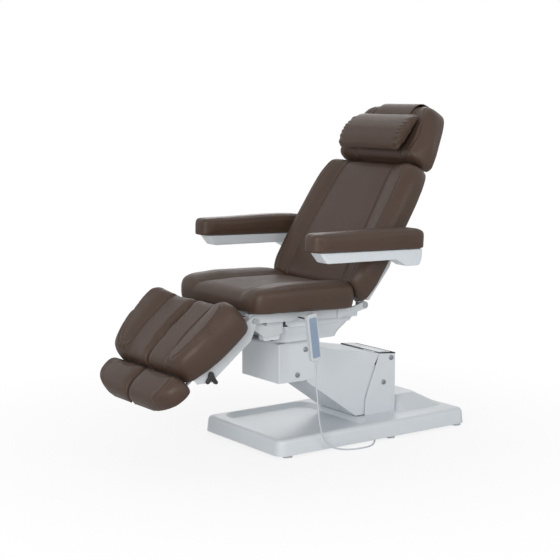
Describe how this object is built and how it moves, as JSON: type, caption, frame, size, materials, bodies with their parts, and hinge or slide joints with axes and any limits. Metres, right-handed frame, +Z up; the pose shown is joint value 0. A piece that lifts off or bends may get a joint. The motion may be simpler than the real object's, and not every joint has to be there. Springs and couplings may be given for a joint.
{
  "type": "treatment chair",
  "caption": "Electric treatment chair with split leg rests, folding armrests, a sliding head rest with pillow, a parallel-link lift on a moulded base and a corded handset",
  "frame": {"origin": "Centre of the bounding box on the floor, without the handset cord", "axes": "+X is the occupant's left, the chair faces -Y, +Z is up"},
  "size_m": [0.9248, 1.5907, 1.4433],
  "materials": {
    "shell_white": "smooth off-white moulding",
    "frame_white": "off-white powder coat",
    "bright_steel": "ground bright steel",
    "brown_leather": "matte grey-brown artificial leather with seams",
    "black_rubber": "matte black rubber",
    "grey_plastic": "light grey plastic",
    "black_plastic": "matte black plastic",
    "keypad_blue": "satin printed keypad film"
  },
  "bodies": {
    "base": {"base_cover": "shell_white", "base_frame": "frame_white", "levelling_feet": "black_rubber", "pedestal_frame": "frame_white", "pedestal_cover": "shell_white", "pedestal_gasket": "black_rubber", "rear_pivot_axles": "bright_steel", "rear_pivot_caps": "grey_plastic", "cord_gland": "black_plastic", "handset_cord": "black_rubber"},
    "upper_link": {"upper_lift_arm": "frame_white", "upper_arm_cover": "shell_white"},
    "lower_link": {"lower_lift_arm": "frame_white", "lower_arm_shell": "shell_white"},
    "lift_tube": {"lift_actuator": "grey_plastic"},
    "lift_rod": {"lift_actuator_rod": "bright_steel"},
    "carriage": {"carriage_frame": "frame_white", "carriage_cover": "shell_white", "swivel_bearing": "bright_steel", "control_box": "black_plastic", "front_pivot_axles": "bright_steel", "front_pivot_caps": "grey_plastic"},
    "turntable": {"turntable_plate": "frame_white", "swivel_housing": "shell_white", "tilt_mount": "frame_white", "tilt_pin": "bright_steel"},
    "seat": {"seat_frame": "frame_white", "seat_cushion": "brown_leather", "leg_hinge_shaft": "bright_steel", "leg_drive_cover_left": "shell_white", "leg_drive_cover_right": "shell_white", "handset_hook": "black_plastic", "handset_housing": "grey_plastic", "handset_keypad": "keypad_blue", "back_hinge_pins": "bright_steel"},
    "back": {"back_frame": "frame_white", "back_tray": "shell_white", "back_cushion": "brown_leather", "armrest_shaft": "bright_steel"},
    "head_carrier": {"headrest_posts": "bright_steel"},
    "head": {"headrest_bracket": "frame_white", "headrest_cushion": "brown_leather", "head_pillow": "brown_leather", "pillow_strap": "brown_leather"},
    "arm_hub_left": {"arm_hub_left": "bright_steel"},
    "armrest_left": {"armrest_pod_left": "shell_white", "armrest_pad_left": "brown_leather"},
    "leg_left": {"leg_frame_left": "frame_white", "leg_cushion_left": "brown_leather"},
    "foot_left": {"foot_slide_left": "bright_steel", "foot_pad_left": "brown_leather"},
    "lever_left": {"release_lever_left": "black_plastic"},
    "arm_hub_right": {"arm_hub_right": "bright_steel"},
    "armrest_right": {"armrest_pod_right": "shell_white", "armrest_pad_right": "brown_leather"},
    "leg_right": {"leg_frame_right": "frame_white", "leg_cushion_right": "brown_leather"},
    "foot_right": {"foot_slide_right": "bright_steel", "foot_pad_right": "brown_leather"},
    "lever_right": {"release_lever_right": "black_plastic"}
  },
  "joints": [
    {"name": "lift", "type": "hinge", "parent": "base", "child": "lower_link", "pos_m": [0, 0.429, 0.218], "axis": [-1, 0, 0], "range_deg": [0, 38]},
    {"name": "upper_link_hinge", "type": "hinge", "parent": "base", "child": "upper_link", "pos_m": [0, 0.472, 0.3235], "axis": [-1, 0, 0], "range_deg": [0, 38.1]},
    {"name": "carriage_level", "type": "hinge", "parent": "lower_link", "child": "carriage", "pos_m": [0, -0.0456, 0.30768], "axis": [-1, 0, 0], "range_deg": [-38.1, 0.1]},
    {"name": "lift_tube_hinge", "type": "hinge", "parent": "base", "child": "lift_tube", "pos_m": [0, 0.383, 0.104], "axis": [-1, 0, 0], "range_deg": [-0.1, 32]},
    {"name": "lift_rod_slide", "type": "slide", "parent": "lift_tube", "child": "lift_rod", "axis": [0, -0.8418, 0.5398], "range_m": [-0.001, 0.0755]},
    {"name": "swivel", "type": "hinge", "parent": "carriage", "child": "turntable", "pos_m": [0, -0.035, 0.4504], "axis": [0, 0, 1], "range_deg": [-90, 90]},
    {"name": "seat_tilt", "type": "hinge", "parent": "turntable", "child": "seat", "pos_m": [0, 0.18, 0.536], "axis": [-1, 0, 0], "range_deg": [0, 12]},
    {"name": "back_recline", "type": "hinge", "parent": "seat", "child": "back", "pos_m": [0, 0.228, 0.597], "axis": [-1, 0, 0], "range_deg": [0, 55]},
    {"name": "head_slide", "type": "slide", "parent": "back", "child": "head_carrier", "axis": [0, 0.5461, 0.8377], "range_m": [0, 0.1]},
    {"name": "head_tilt", "type": "hinge", "parent": "head_carrier", "child": "head", "pos_m": [0, 0.62655, 1.1784], "axis": [-1, 0, 0], "range_deg": [0, 35]},
    {"name": "arm_level_left", "type": "hinge", "parent": "back", "child": "arm_hub_left", "pos_m": [0, 0.361, 0.814], "axis": [-1, 0, 0], "range_deg": [-55.1, 0.1]},
    {"name": "armrest_flip_left", "type": "hinge", "parent": "arm_hub_left", "child": "armrest_left", "pos_m": [0, 0.361, 0.814], "axis": [-1, 0, 0], "range_deg": [0, 95]},
    {"name": "leg_lift_left", "type": "hinge", "parent": "seat", "child": "leg_left", "pos_m": [0, -0.345, 0.585], "axis": [-1, 0, 0], "range_deg": [-25, 38]},
    {"name": "foot_slide_left", "type": "slide", "parent": "leg_left", "child": "foot_left", "axis": [0, -0.788, -0.6157], "range_m": [0, 0.1]},
    {"name": "release_lever_left_turn", "type": "hinge", "parent": "leg_left", "child": "lever_left", "pos_m": [0, -0.55683, 0.39158], "axis": [-1, 0, 0], "range_deg": [-25, 25]},
    {"name": "arm_level_right", "type": "hinge", "parent": "back", "child": "arm_hub_right", "pos_m": [0, 0.361, 0.814], "axis": [-1, 0, 0], "range_deg": [-55.1, 0.1]},
    {"name": "armrest_flip_right", "type": "hinge", "parent": "arm_hub_right", "child": "armrest_right", "pos_m": [0, 0.361, 0.814], "axis": [-1, 0, 0], "range_deg": [0, 95]},
    {"name": "leg_lift_right", "type": "hinge", "parent": "seat", "child": "leg_right", "pos_m": [0, -0.345, 0.585], "axis": [-1, 0, 0], "range_deg": [-25, 38]},
    {"name": "foot_slide_right", "type": "slide", "parent": "leg_right", "child": "foot_right", "axis": [0, -0.788, -0.6157], "range_m": [0, 0.1]},
    {"name": "release_lever_right_turn", "type": "hinge", "parent": "leg_right", "child": "lever_right", "pos_m": [0, -0.55683, 0.39158], "axis": [-1, 0, 0], "range_deg": [-25, 25]}
  ],
  "couplings": [
    {"joint": "upper_link_hinge", "follows": "lift", "ratio": 1},
    {"joint": "carriage_level", "follows": "lift", "ratio": -1},
    {"joint": "lift_tube_hinge", "follows": "lift", "ratio": 0.8264},
    {"joint": "lift_rod_slide", "follows": "lift", "m_per_rad": 0.11111},
    {"joint": "arm_level_left", "follows": "back_recline", "ratio": -1},
    {"joint": "arm_level_right", "follows": "back_recline", "ratio": -1}
  ]
}
